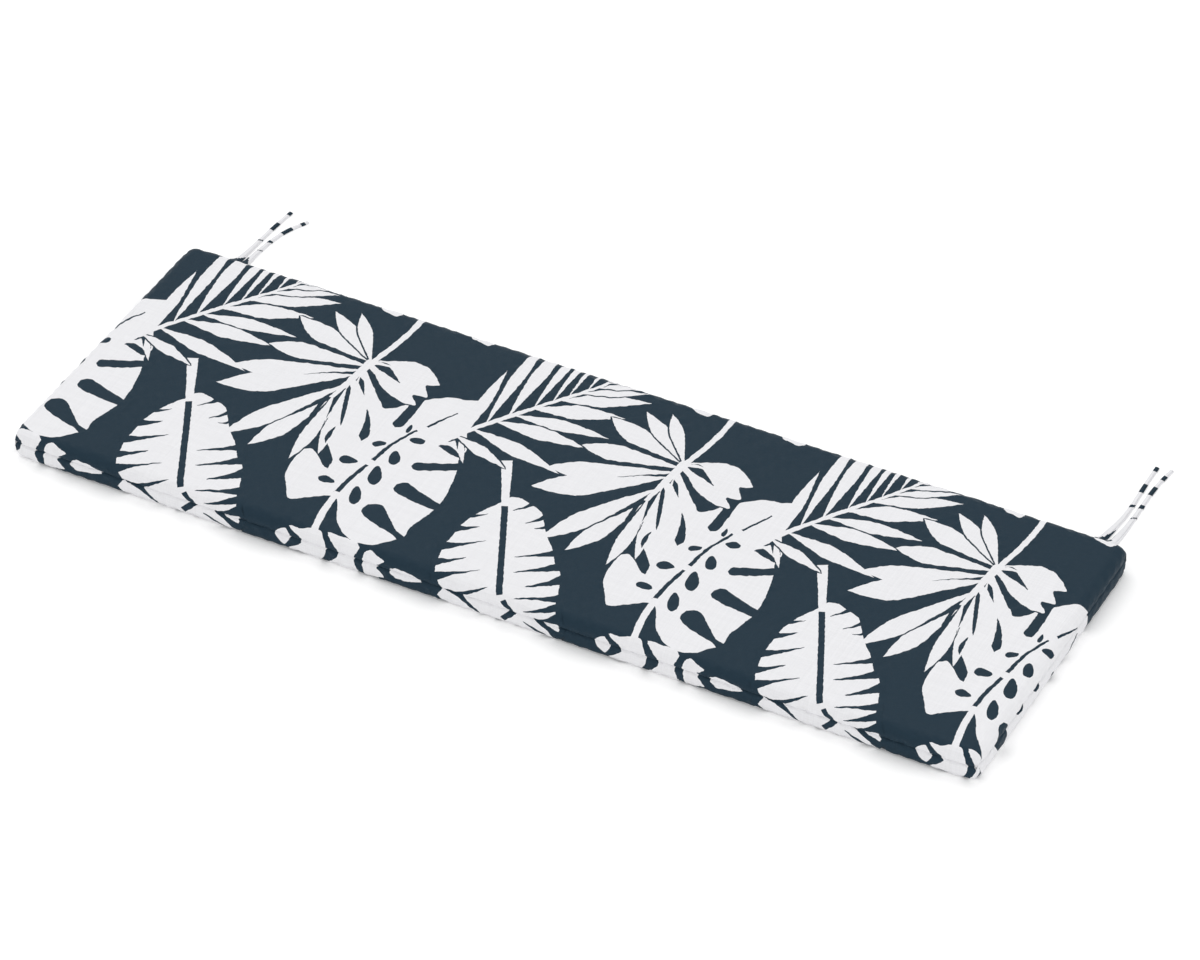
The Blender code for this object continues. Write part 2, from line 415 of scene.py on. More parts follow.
# The next row of leaves shows along the front seam, where its lobes start from the split leaf's
# stem, and two of its tips just reach the back seam.
FRONT_LOBES = (
    ((0.038, -0.218), (0.046, -0.206), (0.054, -0.202), (0.06, -0.211), (0.061, -0.218)),
    (
        (0.056, -0.197), (0.072, -0.197), (0.086, -0.19), (0.096, -0.192),
        (0.104, -0.206), (0.105, -0.218), (0.071, -0.218), (0.075, -0.211),
    ),
    (
        (0.101, -0.19), (0.122, -0.19), (0.138, -0.19), (0.145, -0.196),
        (0.139, -0.212), (0.144, -0.218), (0.12, -0.218), (0.119, -0.208),
    ),
    (
        (0.152, -0.199), (0.158, -0.194), (0.168, -0.199), (0.178, -0.202),
        (0.167, -0.212), (0.172, -0.218), (0.151, -0.218), (0.15, -0.21),
    ),
    ((0.183, -0.212), (0.191, -0.206), (0.207, -0.208), (0.225, -0.213), (0.207, -0.218), (0.189, -0.218)),
)
BACK_TIPS = (
    ((-0.044, 0.202), (-0.036, 0.188), (-0.016, 0.184), (-0.012, 0.194), (-0.022, 0.208), (-0.038, 0.206)),
    ((0.07, 0.204), (0.078, 0.189), (0.1, 0.185), (0.106, 0.192), (0.096, 0.206), (0.078, 0.207)),
)
for corners in FRONT_LOBES + BACK_TIPS:
    lay(hand_cut(corners), WHITE)

# Feather palm: a bowed rib with leaflets on both sides, closer and slimmer towards its tip.
FEATHER_RIB = (
    (-0.262, -0.004), (-0.242, 0.036), (-0.221, 0.069), (-0.198, 0.104),
    (-0.173, 0.141), (-0.149, 0.178), (-0.124, 0.222),
)
FEATHER_BEND_DEG = -8
FEATHER_BELLY = 0.45
FEATHER_TIP = 1.35
# distance along the rib, heading, length, width of each leaflet
FEATHER_LOWER = (
    (0.028, 341, 0.08, 0.017), (0.05, 348, 0.126, 0.023), (0.079, 2, 0.112, 0.024),
    (0.102, 6, 0.116, 0.021), (0.127, 18, 0.106, 0.027), (0.16, 25, 0.106, 0.025),
    (0.187, 27, 0.08, 0.014), (0.209, 27, 0.066, 0.011), (0.226, 30, 0.056, 0.009),
)
# The first upper leaflet has no navy line round it, because it runs into the split leaf.
FEATHER_JOINED = 0.044
FEATHER_UPPER = (
    (FEATHER_JOINED, 96, 0.12, 0.015), (0.067, 93, 0.2, 0.0155), (0.096, 91, 0.185, 0.018),
    (0.128, 90, 0.16, 0.011), (0.152, 90, 0.135, 0.008), (0.173, 90, 0.115, 0.006),
    (0.197, 88, 0.09, 0.0058), (0.22, 84, 0.06, 0.005),
)
# Two slits and a single narrow leaflet at the rib's foot, over the split leaf's edge.
FEATHER_SLIT = (
    (-0.2595, -0.004), (-0.249, 0.003), (-0.238, -0.002),
    (-0.229, -0.007), (-0.2285, -0.013), (-0.245, -0.0095),
)
FEATHER_SMALL_SLIT = ((-0.256, 0.007), (-0.251, 0.01), (-0.246, 0.016))
FEATHER_SPIKE = ((-0.244, 0.02), (-0.234, 0.004), (-0.219, -0.021))
lay(ribbon(FEATHER_SPIKE, start_width=0.012, end_width=0.004), NAVY)
lay(hand_cut(FEATHER_SLIT), NAVY)
lay(ribbon(FEATHER_SMALL_SLIT, start_width=0.0025, end_width=0.0045), NAVY)
lay(blade(FEATHER_SPIKE[0], heading_deg=302, length=0.046, width=0.008), WHITE)
feather_rib = curve_through(FEATHER_RIB)
feather_travel = travel_along(feather_rib)
for distance, *shape in FEATHER_LOWER + FEATHER_UPPER:
    root = [np.interp(distance, feather_travel, feather_rib[:, axis]) for axis in (0, 1)]
    leaflet = blade(root, *shape, FEATHER_BEND_DEG, belly=FEATHER_BELLY, tip=FEATHER_TIP)
    lay(leaflet, WHITE, outlined=distance != FEATHER_JOINED)
lay(ribbon(FEATHER_RIB, start_width=0.0075, end_width=0.0035), WHITE)

# Fan palm: blades spread all round from the end of a stalk and down its short rib.
FAN_HUB = (0.0, 0.095)
FAN_RIB_HEADING = 264
FAN_RIB_LENGTH = 0.078
FAN_STALK = ((0.002, 0.1), (0.009, 0.14), (0.012, 0.18), (0.01, 0.222))
FAN_BLADE_TIP = 1.7
# distance down the rib, heading, length, width, bend, lean, belly of each blade
FAN_BLADES = (
    (0.05, 241, 0.16, 0.028, 0, 0.5, 0.62), (0.086, 250, 0.116, 0.024, -6, 0.5, 0.6),
    (0.028, 213, 0.156, 0.038, 0, 0.4, 0.66), (0.018, 203, 0.144, 0.031, 0, 0.35, 0.7),
    (0.008, 187, 0.118, 0.03, 0, 0.5, 0.66), (0.0, 161, 0.118, 0.03, 0, 0.4, 0.62),
    (0.0, 141, 0.104, 0.021, 0, 0.5, 0.6), (0.0, 125, 0.093, 0.017, 0, 0.5, 0.6),
)
# The blade at the first heading runs into the banana leaf, and the one at the second into the next
# blade, but for a slit between them.
FAN_JOINED_HEADINGS = (241, 203)
FAN_JOINED_SLIT = ((-0.006, 0.07), (-0.03, 0.057), (-0.056, 0.04))
# Three blades at the right have grown together and end in a zigzag, with two dark wedges between.
FAN_GROWN_TOGETHER = (
    (0.004, 0.1), (0.021, 0.109), (0.042, 0.119), (0.061, 0.117), (0.077, 0.106),
    (0.089, 0.093), (0.073, 0.087), (0.087, 0.067), (0.068, 0.064), (0.083, 0.048),
    (0.065, 0.046), (0.048, 0.052), (0.031, 0.061), (0.012, 0.079), (0.0, 0.086),
)
FAN_WEDGES = (
    ((0.005, 0.092), (0.022, 0.098), (0.034, 0.088), (0.049, 0.075), (0.03, 0.082), (0.014, 0.087)),
    ((0.006, 0.099), (0.014, 0.1005), (0.022, 0.101), (0.014, 0.1025)),
)
# Between the fan's lowest blades and the split leaf the white runs together. Only a hollow above the
# leaf's left lobe and a few narrow slits part them.
SPLIT_HOLLOW = (
    (0.006, -0.04), (0.029, -0.058), (0.037, -0.067), (0.048, -0.08), (0.05, -0.096), (0.043, -0.094),
    (0.029, -0.08), (0.018, -0.073), (0.01, -0.078), (0.006, -0.092), (0.001, -0.08),
)
FAN_LOWEST_BELLY = 0.55
FAN_LOWEST_TIP = 1.9
# root along, across, heading, length, width, bend, lean
FAN_LOWEST_BLADES = (
    (0.001, 0.081, 313, 0.074, 0.03, 0, 1.0), (-0.002, 0.06, 296, 0.096, 0.034, 0, 0.5),
    (-0.003, 0.056, 283, 0.138, 0.018, 0, 0.5), (-0.008, 0.024, 275, 0.125, 0.018, -12, 0.5),
)
# start along, across, heading, length, width, bend, belly, tip of each slit
FAN_SLITS = (
    (0.003, 0.065, 306, 0.033, 0.0062, 4, 0.25, 1.5), (-0.001, 0.047, 291, 0.075, 0.0052, 0, 0.1, 6.0),
    (0.022, -0.027, 278, 0.032, 0.0056, 28, 0.45, 2.0), (-0.006, 0.026, 288, 0.034, 0.0034, 4, 0.25, 3.0),
    (0.006, -0.014, 279, 0.03, 0.0014, 0, 0.5, 2.0), (0.059, -0.036, 113, 0.06, 0.0112, 24, 0.15, 1.3),
    (-0.013, 0.013, 272, 0.04, 0.0048, 0, 0.06, 9.0),
)
lay(hand_cut(FAN_GROWN_TOGETHER), WHITE, outlined=True)
for corners in FAN_WEDGES:
    lay(hand_cut(corners), NAVY)
for distance, heading_deg, *shape in FAN_BLADES:
    root = np.array(FAN_HUB) + distance * pointing(FAN_RIB_HEADING)
    fan_blade = blade(root, heading_deg, *shape, FAN_BLADE_TIP)
    lay(fan_blade, WHITE, outlined=heading_deg not in FAN_JOINED_HEADINGS)
lay(ribbon(FAN_JOINED_SLIT, start_width=0.0032, end_width=0.0006), NAVY)
lay(hand_cut(SPLIT_HOLLOW), NAVY)
for along, across, *shape in FAN_LOWEST_BLADES:
    lay(blade((along, across), *shape, FAN_LOWEST_BELLY, FAN_LOWEST_TIP), WHITE)
for along, across, *shape, belly, tip in FAN_SLITS:
    lay(blade((along, across), *shape, belly=belly, tip=tip), NAVY)
lay(drop(FAN_HUB, heading_deg=90, length=0.013, width=0.012, far_fullness=1.0), WHITE)
fan_rib_end = np.array(FAN_HUB) + FAN_RIB_LENGTH * pointing(FAN_RIB_HEADING)
lay(ribbon([FAN_HUB, fan_rib_end], start_width=0.0112, end_width=0.005), WHITE)
lay(ribbon(FAN_STALK, start_width=0.0072, end_width=0.0074), WHITE)


def on_cloth(outline, repeat):
    """A repeat's outline in cloth distances, eased along the cushion as the cloth is stretched."""
    along = outline[:, 0] + PRINT_START + repeat * PRINT_REPEAT
    return np.column_stack([along - PRINT_EASE * along**2, outline[:, 1]])


print_shapes = [
    (on_cloth(outline, repeat), colour)
    for repeat in REPEATS
    for outline, colour in repeat_shapes
]


# ---- Canvas weave ----
# Plain canvas, about seventeen threads to the centimetre, printed on one face. Single threads come
# a little thicker or paler than their neighbours, and the gaps between them sink into shadow.
THREAD_ROUNDNESS = 0.6
THICK_THREAD_RISE = 0.4


def weave_group():
    """Node group: shade and height of a plain weave at a place on the cloth, in metres."""
    group = bpy.data.node_groups.new("canvas weave", "ShaderNodeTree")
    group.interface.new_socket("Cloth Position", in_out="INPUT", socket_type="NodeSocketVector")
    for socket_name in ("Threads per Metre", "Gap Shade", "Thread Variation"):
        group.interface.new_socket(socket_name, in_out="INPUT", socket_type="NodeSocketFloat")
    for socket_name in ("Shade", "Height"):
        group.interface.new_socket(socket_name, in_out="OUTPUT", socket_type="NodeSocketFloat")
    nodes, links = group.nodes, group.links
    given = nodes.new("NodeGroupInput")
    result = nodes.new("NodeGroupOutput")

    def maths(operation, first, second=None):
        """A Math node on two sockets or numbers; gives its output."""
        node = nodes.new("ShaderNodeMath")
        node.operation = operation
        for socket, value in zip(node.inputs, (first, second)):
            if isinstance(value, bpy.types.NodeSocket):
                links.new(value, socket)
            elif value is not None:
                socket.default_value = value
        return node.outputs["Value"]

    def noise_at(socket):
        """A random number for each whole thread."""
        node = nodes.new("ShaderNodeTexWhiteNoise")
        node.noise_dimensions = "1D"
        links.new(maths("FLOOR", socket), node.inputs["W"])
        return node.outputs["Value"]

    place = nodes.new("ShaderNodeSeparateXYZ")
    links.new(given.outputs["Cloth Position"], place.inputs["Vector"])
    warp = maths("MULTIPLY", place.outputs["X"], given.outputs["Threads per Metre"])
    weft = maths("MULTIPLY", place.outputs["Y"], given.outputs["Threads per Metre"])
    warp_wave = maths("SINE", maths("MULTIPLY", warp, math.pi))
    weft_wave = maths("SINE", maths("MULTIPLY", weft, math.pi))
    crossing = maths("MULTIPLY", warp_wave, weft_wave)
    raised = maths("POWER", maths("ABSOLUTE", crossing), THREAD_ROUNDNESS)
    warp_on_top = maths("GREATER_THAN", crossing, 0.0)
    weft_on_top = maths("SUBTRACT", 1.0, warp_on_top)
    warp_thread = maths("MULTIPLY", noise_at(warp), warp_on_top)
    weft_thread = maths("MULTIPLY", noise_at(weft), weft_on_top)
    thread = maths("ADD", warp_thread, weft_thread)
    gap = maths("MULTIPLY", maths("SUBTRACT", 1.0, raised), given.outputs["Gap Shade"])
    uneven = maths("MULTIPLY", maths("SUBTRACT", thread, 0.5), given.outputs["Thread Variation"])
    links.new(maths("ADD", maths("SUBTRACT", 1.0, gap), uneven), result.inputs["Shade"])
    height = maths("ADD", raised, maths("MULTIPLY", thread, THICK_THREAD_RISE))
    links.new(height, result.inputs["Height"])
    return group


weave = weave_group()


def set_inputs(node, values):
    """Sets the plain values of a node's inputs, by their names."""
    for socket_name, value in values.items():
        node.inputs[socket_name].default_value = value


def canvas(name, colour, gap_shade):
    """Matt woven canvas, printed in one colour."""
    material = bpy.data.materials.new(name)
    material.use_nodes = True
    nodes, links = material.node_tree.nodes, material.node_tree.links
    shader = nodes["Principled BSDF"]
    set_inputs(shader, {"Roughness": 0.5, "Specular IOR Level": 0.08})
    cloth_position = nodes.new("ShaderNodeUVMap")
    cloth_position.uv_map = "cloth"
    woven = nodes.new("ShaderNodeGroup")
    woven.node_tree = weave
    set_inputs(woven, {"Threads per Metre": 1700.0, "Gap Shade": gap_shade, "Thread Variation": 0.08})
    links.new(cloth_position.outputs["UV"], woven.inputs["Cloth Position"])
    # The weave's shade multiplies the print's colour: painted shade in the gaps between threads, together
    # with the threads' own paler or darker tones.
    printed = nodes.new("ShaderNodeMix")
    printed.data_type = "RGBA"
    printed.blend_type = "MULTIPLY"
    set_inputs(printed, {"Factor": 1.0, "A": colour})
    links.new(woven.outputs["Shade"], printed.inputs["B"])
    links.new(printed.outputs["Result"], shader.inputs["Base Color"])
    slack = nodes.new("ShaderNodeTexNoise")
    set_inputs(slack, {"Scale": 190.0, "Detail": 3.0})
    links.new(cloth_position.outputs["UV"], slack.inputs["Vector"])
    soft_bump = nodes.new("ShaderNodeBump")
    set_inputs(soft_bump, {"Strength": 0.5, "Distance": 0.0006})
    links.new(slack.outputs["Fac"], soft_bump.inputs["Height"])
    thread_bump = nodes.new("ShaderNodeBump")
    set_inputs(thread_bump, {"Strength": 0.5, "Distance": 0.00012})
    links.new(woven.outputs["Height"], thread_bump.inputs["Height"])
    links.new(soft_bump.outputs["Normal"], thread_bump.inputs["Normal"])
    links.new(thread_bump.outputs["Normal"], shader.inputs["Normal"])
    return material


canvas_navy = canvas("canvas_navy", colour=(0.0163, 0.0357, 0.0545, 1.0), gap_shade=0.20)
canvas_white = canvas("canvas_white", colour=(0.825, 0.825, 0.845, 1.0), gap_shade=0.10)


def printed_mesh(name, places, faces, cloth, white):
    """A smooth mesh of canvas, white or navy by face, with a place on the cloth for each corner."""
    mesh = bpy.data.meshes.new(name)
    mesh.from_pydata(places, [], faces)
    mesh.polygons.foreach_set("use_smooth", [True] * len(faces))
    mesh.uv_layers.new(name="cloth").data.foreach_set("uv", np.ravel(cloth))
    for material in (canvas_navy, canvas_white):
        mesh.materials.append(material)
    mesh.polygons.foreach_set("material_index", np.array(white, dtype=np.int32))
    return mesh


# ---- Sewn cover ----
# The two panels are cut from the printed cloth and sewn edge to edge. The thread is shorter than
# the cloth, and the slab fills it out, so a cloth simulation swells the panels between the seams
# while the foam holds them.
scene_objects = bpy.context.scene.collection.objects
SWELL_FRAMES = 16
SWELL_PRESSURE = 2.0
SWELL_LOOSENESS = 0.012
SWELL_LIMIT = 0.0007
FOAM_HOLD = 0.40
CLOTH_WEIGHT = 0.23
RESTING_BELOW = 0.0002


def sewn_faces(rows, columns, underneath):
    """Quads of the top panel and of the bottom one, over one array of points."""
    faces = []
    for i in range(rows - 1):
        for j in range(columns - 1):
            corners = ((i, j), (i + 1, j), (i + 1, j + 1), (i, j + 1))
            faces.append([a * columns + b for a, b in corners])
            faces.append([underneath[a, b] for a, b in reversed(corners)])
    return faces


def swell(panels):
    """Both panels after the simulation, held along the seam and where the underside rests."""
    rows, columns = panels["top"].shape[:2]
    underneath = np.arange(rows * columns).reshape(rows, columns)
    inner = np.zeros((rows, columns), bool)
    inner[1:-1, 1:-1] = True
    underneath[inner] = rows * columns + np.arange(inner.sum())
    places = np.vstack([panels["top"].reshape(-1, 3), panels["bottom"][inner]])
    mesh = bpy.data.meshes.new("draft")
    mesh.from_pydata(places.tolist(), [], sewn_faces(rows, columns, underneath))
    draft = bpy.data.objects.new("draft", mesh)
    scene_objects.link(draft)

    seam = underneath[~inner].ravel()
    resting = underneath[panels["bottom"][..., 2] < RESTING_BELOW].ravel()
    held = draft.vertex_groups.new(name="held")
    held.add(list(range(len(places))), FOAM_HOLD, "REPLACE")
    held.add([int(k) for k in np.union1d(seam, resting)], 1.0, "REPLACE")
    cloth = draft.modifiers.new("cloth", "CLOTH")
    settings = cloth.settings
    settings.quality = 5
    settings.mass = CLOTH_WEIGHT
    settings.tension_stiffness = 25
    settings.compression_stiffness = 25
    settings.shear_stiffness = 8
    settings.bending_stiffness = 0.3
    settings.pin_stiffness = 2.0
    settings.use_pressure = True
    settings.uniform_pressure_force = SWELL_PRESSURE
    settings.shrink_min = -SWELL_LOOSENESS
    settings.vertex_group_mass = "held"
    settings.effector_weights.gravity = 0.0
    cloth.collision_settings.use_collision = False
    cloth.point_cache.frame_end = SWELL_FRAMES
    for frame_number in range(1, SWELL_FRAMES + 1):
        bpy.context.scene.frame_set(frame_number)
    evaluated = draft.evaluated_get(bpy.context.evaluated_depsgraph_get())
    swollen = np.array([vertex.co for vertex in evaluated.data.vertices])
    bpy.context.scene.frame_set(1)
    bpy.data.objects.remove(draft)

    moved = swollen - places
    far = np.linalg.norm(moved, axis=1)[:, None]
    moved *= SWELL_LIMIT * np.tanh(far / SWELL_LIMIT) / np.maximum(far, NEXT_TO_NOTHING)
    settled = places + moved
    top = settled[:rows * columns].reshape(rows, columns, 3)
    return {"top": top, "bottom": settled[underneath]}


panels = swell(panels)


def between(stations, places):
    """For each place, the first of four grid rows round it, and weights for a smooth curve."""
    index = np.interp(places, stations, np.arange(len(stations)))
    first = np.clip(np.floor(index).astype(int), 0, len(stations) - 2)
    t = index - first
    weights = (
        -0.5 * t**3 + t**2 - 0.5 * t,
        1.5 * t**3 - 2.5 * t**2 + 1,
        -1.5 * t**3 + 2 * t**2 + 0.5 * t,
        0.5 * t**3 - 0.5 * t**2,
    )
    return first, weights


# The seam puckers between its stitches, the corners fold a little where the thread draws them in,
# and the cloth lies slightly slack on the foam.
PUCKER = 0.0002
PUCKER_PITCH = 0.0075
PUCKER_REACH = 0.005
PUCKER_DRIFT = 0.11
PUCKER_CORNER_FADE = 0.02
CORNER_FOLD = 0.0008
CORNER_FOLD_REACH = 0.03
CORNER_FOLD_CENTRE = 0.006
CORNER_FOLD_EYE = 0.008
CORNER_FOLDS_PER_RADIAN = 6.5
CORNER_FOLD_MEAN = 0.6
CORNER_FOLD_SWING = 0.8
CORNER_PHASES = (1.7, 0.9)
SLACK = 0.00014
SLACK_PITCH = 0.055
SLACK_FROM_SEAM = 0.012
RESTING_FROM_SEAM = 0.012
# turn in degrees, pitch and phase of each wave, and the height that their sum seldom passes
WAVES = ((12, 1.0, 0.3), (71, 0.83, 1.9), (128, 1.21, 4.2), (163, 0.61, 2.7), (40, 0.47, 5.1))
WAVES_HEIGHT = 2.6


def rolling(x, y, shift):
    """Smooth noise between about -1 and 1, from sums of waves at crossed angles."""
    total = np.zeros_like(x)
    for turn_deg, pitch, phase in WAVES:
        along = x * math.cos(math.radians(turn_deg)) + y * math.sin(math.radians(turn_deg))
        total += np.sin(math.tau * along / pitch + phase + shift)
    return total / WAVES_HEIGHT


def lift(cloth, side):
    """How far the cloth stands off its even form: puckers, corner folds and slackness."""
    from_seam_x = HALF_ALONG - np.abs(cloth[:, 0])
    from_seam_y = HALF_ACROSS - np.abs(cloth[:, 1])
    nearest_seam = np.minimum(from_seam_x, from_seam_y)
    from_corner = np.clip(np.maximum(from_seam_x, from_seam_y) / PUCKER_CORNER_FADE, 0, 1)
    puckers = np.zeros(len(cloth))
    for from_seam, run in ((from_seam_y, cloth[:, 0]), (from_seam_x, cloth[:, 1])):
        wave = rolling(run / PUCKER_PITCH, PUCKER_DRIFT * run / PUCKER_PITCH, side)
        rising = (from_seam / PUCKER_REACH) * np.exp(1 - from_seam / PUCKER_REACH)
        puckers += PUCKER * wave * rising * from_corner
    corner = np.hypot(from_seam_x - CORNER_FOLD_CENTRE, from_seam_y - CORNER_FOLD_CENTRE)
    turn = np.arctan2(from_seam_y, from_seam_x)
    corner_phase = np.sign(cloth) @ CORNER_PHASES + side
    near = soft_fade(corner, CORNER_FOLD_REACH) * np.clip(corner / CORNER_FOLD_EYE, 0.0, 1.0)
    fold_wave = np.cos(CORNER_FOLDS_PER_RADIAN * turn + corner_phase)
    folds = -CORNER_FOLD * near * (CORNER_FOLD_MEAN + CORNER_FOLD_SWING * fold_wave)
    settle = np.clip(nearest_seam / SLACK_FROM_SEAM, 0.0, 1.0)
    slack = SLACK * rolling(cloth[:, 0] / SLACK_PITCH, cloth[:, 1] / SLACK_PITCH, side) * settle
    resting = np.clip((nearest_seam - RESTING_FROM_SEAM) / RESTING_FROM_SEAM, 0.0, 1.0)
    free = 1.0 if side > 0 else 1 - resting
    return (puckers + folds + slack) * free


def on_panel(grid, cloth):
    """Places on a panel's even form, for cloth distances along and across."""
    padded = np.pad(grid, ((1, 1), (1, 1), (0, 0)), mode="reflect", reflect_type="odd")
    i, weights_i = between(stations_along, cloth[:, 0])
    j, weights_j = between(stations_across, cloth[:, 1])
    total = np.zeros((len(cloth), 3))
    for a in range(4):
        for b in range(4):
            total += padded[i + a, j + b] * (weights_i[a] * weights_j[b])[:, None]
    return total


PROBE = 0.0005
HALF_CLOTH = np.array([HALF_ALONG, HALF_ACROSS])


def normals_of(surface, cloth, side):
    """Unit normals of a surface at cloth distances, measured a probe's reach to each side."""
    runs = []
    for step in ((PROBE, 0.0), (0.0, PROBE)):
        ahead = np.clip(cloth + step, -HALF_CLOTH, HALF_CLOTH)
        behind = np.clip(cloth - step, -HALF_CLOTH, HALF_CLOTH)
        runs.append(surface(ahead) - surface(behind))
    normal = np.cross(runs[0], runs[1]) * side
    size = np.linalg.norm(normal, axis=1)[:, None]
    straight_out = [[0.0, 0.0, float(side)]]
    return np.where(size > NEXT_TO_NOTHING, normal / np.maximum(size, NEXT_TO_NOTHING), straight_out)


def panel_surface(name, side):
    """The panel's surface with its puckers, folds and slackness, as a function of cloth distance."""
    grid = panels[name]

    def even(cloth):
        return on_panel(grid, cloth)

    def surface(cloth):
        places = even(cloth) + normals_of(even, cloth, side) * lift(cloth, side)[:, None]
        places[:, 2] = np.maximum(places[:, 2], 0.0)
        return places

    return surface


def turns_round(outline, places):
    """How often an outline turns round each of some places."""
    turns = np.zeros(len(places), dtype=int)
    x, y = places.T
    for start, end in zip(outline, np.roll(outline, -1, axis=0)):
        left = (end[0] - start[0]) * (y - start[1]) - (x - start[0]) * (end[1] - start[1])
        turns += (start[1] <= y) & (end[1] > y) & (left > 0)
        turns -= (start[1] > y) & (end[1] <= y) & (left < 0)
    return turns


SAME_PLACE = 1e-6


def cut_cloth(shapes, points):
    """Triangles of a panel of cloth with the print's outlines cut in, and which of them are white."""
    outlines = [HALF_CLOTH * [(-1, -1), (1, -1), (1, 1), (-1, 1)]]
    for outline, colour in shapes:
        if (outline.min(axis=0) < HALF_CLOTH).all() and (outline.max(axis=0) > -HALF_CLOTH).all():
            outlines.append(outline)
    edges = []
    for outline in outlines:
        first = len(edges)
        edges += [(first + k, first + (k + 1) % len(outline)) for k in range(len(outline))]
    places = [Vector(place) for place in np.vstack(outlines + [points])]
    cut = geometry.delaunay_2d_cdt(places, edges, [], 0, SAME_PLACE)
    cloth = np.array([tuple(place) for place in cut[0]])
    triangles = np.array(cut[2])
    middles = cloth[triangles].mean(axis=1)
    triangles = triangles[(np.abs(middles) < HALF_CLOTH).all(axis=1)]
    middles = cloth[triangles].mean(axis=1)
    white = np.zeros(len(triangles), dtype=bool)
    for outline, colour in shapes:
        close = ((middles > outline.min(axis=0)) & (middles < outline.max(axis=0))).all(axis=1)
        close = np.flatnonzero(close)
        white[close[turns_round(outline, middles[close]) != 0]] = colour
    used, triangles = np.unique(triangles, return_inverse=True)
    return cloth[used], triangles.reshape(-1, 3), white


# The mesh is finest along the seam, where the puckers are.
SEAM_ROWS = (0.0, 0.0009, 0.0021, 0.0042, 0.0075)
SEAM_STEP = 0.0034
ROWS_CLEARANCE = 0.0015


def seam_rows():
    """Points in rows along all four seams, close together."""
    rows = []
    for inset in SEAM_ROWS:
        half_x, half_y = HALF_ALONG - inset, HALF_ACROSS - inset
        for x in np.linspace(-half_x, half_x, round(2 * half_x / SEAM_STEP)):
            rows += [(x, -half_y), (x, half_y)]
        for y in np.linspace(-half_y, half_y, round(2 * half_y / SEAM_STEP))[1:-1]:
            rows += [(-half_x, y), (half_x, y)]
    return np.array(rows)


even_points = np.column_stack([grid_along.ravel(), grid_across.ravel()])
within_rows = HALF_CLOTH - SEAM_ROWS[-1] - ROWS_CLEARANCE
even_points = even_points[(np.abs(even_points) < within_rows).all(axis=1)]
cloth, triangles, white = cut_cloth(print_shapes, np.vstack([even_points, seam_rows()]))
on_seam = (np.abs(cloth) > HALF_CLOTH - SAME_PLACE).any(axis=1)

# One closed mesh: the bottom panel carries the same print, and shares the seam's points.
top_surface = panel_surface("top", 1)
bottom_surface = panel_surface("bottom", -1)
count = len(cloth)
below = np.arange(count) + count
below[on_seam] = np.flatnonzero(on_seam)
used, order = np.unique(np.concatenate([np.arange(count), below]), return_inverse=True)
places = np.vstack([top_surface(cloth), bottom_surface(cloth)])[used]
turned = triangles[:, ::-1]
faces = np.vstack([order[:count][triangles], order[count:][turned]])
loops = np.concatenate([cloth[triangles], cloth[turned]]).reshape(-1, 2)
both_white = np.concatenate([white, white])
cover_mesh = printed_mesh("cover", places.tolist(), faces.tolist(), loops, both_white)
top_normals = normals_of(top_surface, cloth, 1)[triangles]
bottom_normals = normals_of(bottom_surface, cloth, -1)[turned]
cover_mesh.normals_split_custom_set(np.concatenate([top_normals, bottom_normals]).reshape(-1, 3).tolist())
# The bake's map: the top panel in the upper half of the square, the bottom one in the lower half.
BAKE_FILLED = 0.98
BAKE_TOP_MIDDLE = (0.5, 0.75)
BAKE_BOTTOM_SHIFT = 0.5
bake = loops * (BAKE_FILLED / (2 * HALF_ALONG)) + BAKE_TOP_MIDDLE
bake[len(loops) // 2:, 1] -= BAKE_BOTTOM_SHIFT
cover_mesh.uv_layers.new(name="OFBake").data.foreach_set("uv", bake.ravel())
cover = bpy.data.objects.new("cover", cover_mesh)
scene_objects.link(cover)
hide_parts("cushion")
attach(cover, "root")


# ---- Ties ----
# Each real tie is a strip of the same canvas, folded in and stitched shut along one side. It comes
# flat and broad out of the back seam, narrows to a limp tape and ends in a bare, cut end. The print
# crosses it in uneven navy bands.
TIE_THICKNESS = 0.0018
TIE_SEAT = 0.001
TIE_DROP_RUN = 0.041
TIE_STATIONS = 240
TIE_SIDE_CLOTH = 0.002
TIE_SHARP_DEG = 60
# share of the tie's length, its width there
TIE_WIDTHS = (
    (0.0, 0.0122), (0.16, 0.0118), (0.28, 0.0092), (0.4, 0.0072), (0.55, 0.0058), (1.0, 0.005),
)
# Each tie's way, seen from above: along the cushion, behind the seam.
TIE_ROUTES = {
    "tie_left_a": (
        (-0.5616, 0.000), (-0.5614, 0.010), (-0.5602, 0.022), (-0.5578, 0.038), (-0.5560, 0.058),
        (-0.5544, 0.086), (-0.5527, 0.115), (-0.5496, 0.147),
    ),
    "tie_left_b": (
        (-0.5492, 0.000), (-0.5491, 0.010), (-0.5482, 0.022), (-0.5468, 0.038), (-0.5454, 0.060),
        (-0.5424, 0.086), (-0.5357, 0.113), (-0.5222, 0.140),
    ),
    "tie_right_a": (
        (0.5476, 0.000), (0.5478, 0.010), (0.5494, 0.022), (0.5525, 0.038), (0.5555, 0.057),
        (0.5582, 0.080), (0.5586, 0.106), (0.5570, 0.140), (0.5562, 0.180),
    ),
    "tie_right_b": (
        (0.5606, 0.000), (0.5608, 0.010), (0.5628, 0.022), (0.5662, 0.038), (0.5680, 0.057),
        (0.5689, 0.082), (0.5688, 0.110), (0.5686, 0.140), (0.5708, 0.167), (0.5732, 0.183),
    ),
}
